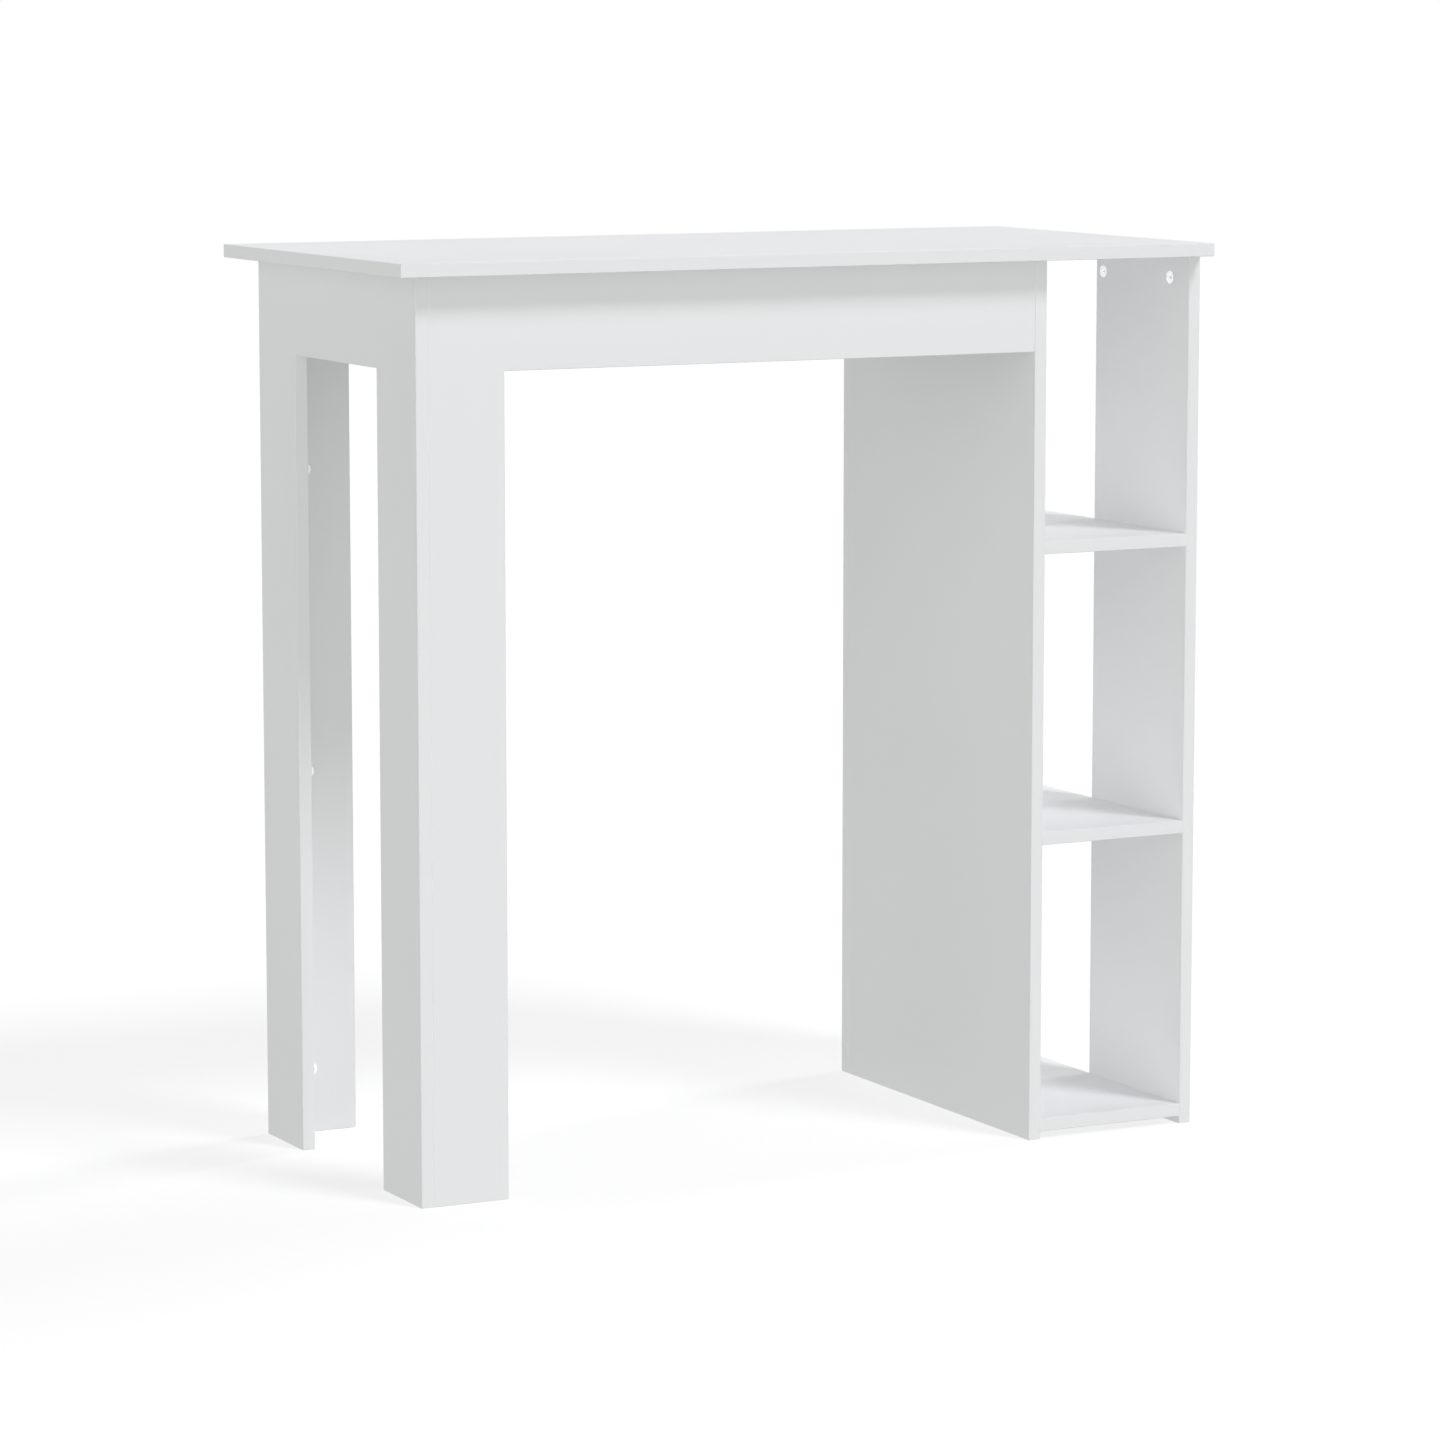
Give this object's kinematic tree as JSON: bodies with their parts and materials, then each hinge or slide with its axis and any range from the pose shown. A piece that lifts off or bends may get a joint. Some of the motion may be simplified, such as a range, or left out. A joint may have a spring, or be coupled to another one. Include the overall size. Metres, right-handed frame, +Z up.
{
  "type": "bar table",
  "caption": "White bar-height table: a rectangular top on a panel-built leg frame at its left end and an open tower of shelves at its right end.",
  "frame": {"origin": "on the floor, under the middle of the table top", "axes": "+X along the table towards the shelf tower, +Y from the front to the rear, +Z up"},
  "size_m": [1.02, 0.5, 1.035],
  "materials": {
    "white_board": "particleboard faced and edged in satin white melamine",
    "cam_zinc": "die-cast zinc alloy, bright",
    "bolt_steel": "bright zinc-plated steel",
    "dowel_beech": "plain turned beech"
  },
  "bodies": {
    "root": {"back_panel": "white_board", "back_panel_bolts": "bolt_steel", "back_panel_cams": "cam_zinc", "back_panel_dowels": "dowel_beech", "bottom_shelf": "white_board", "bottom_shelf_cams": "cam_zinc", "end_panel": "white_board", "end_panel_bolts": "bolt_steel", "end_panel_cams": "cam_zinc", "end_panel_dowels": "dowel_beech", "front_leg_and_rail": "white_board", "front_leg_and_rail_cams": "cam_zinc", "inner_side_panel": "white_board", "inner_side_panel_bolts": "bolt_steel", "inner_side_panel_cams": "cam_zinc", "inner_side_panel_dowels": "dowel_beech", "middle_shelf": "white_board", "middle_shelf_cams": "cam_zinc", "outer_side_panel": "white_board", "outer_side_panel_bolts": "bolt_steel", "outer_side_panel_cams": "cam_zinc", "outer_side_panel_dowels": "dowel_beech", "rear_leg_and_rail": "white_board", "rear_leg_and_rail_cams": "cam_zinc", "table_top": "white_board", "table_top_bolts": "bolt_steel", "top_shelf": "white_board", "top_shelf_cams": "cam_zinc"}
  },
  "joints": []
}
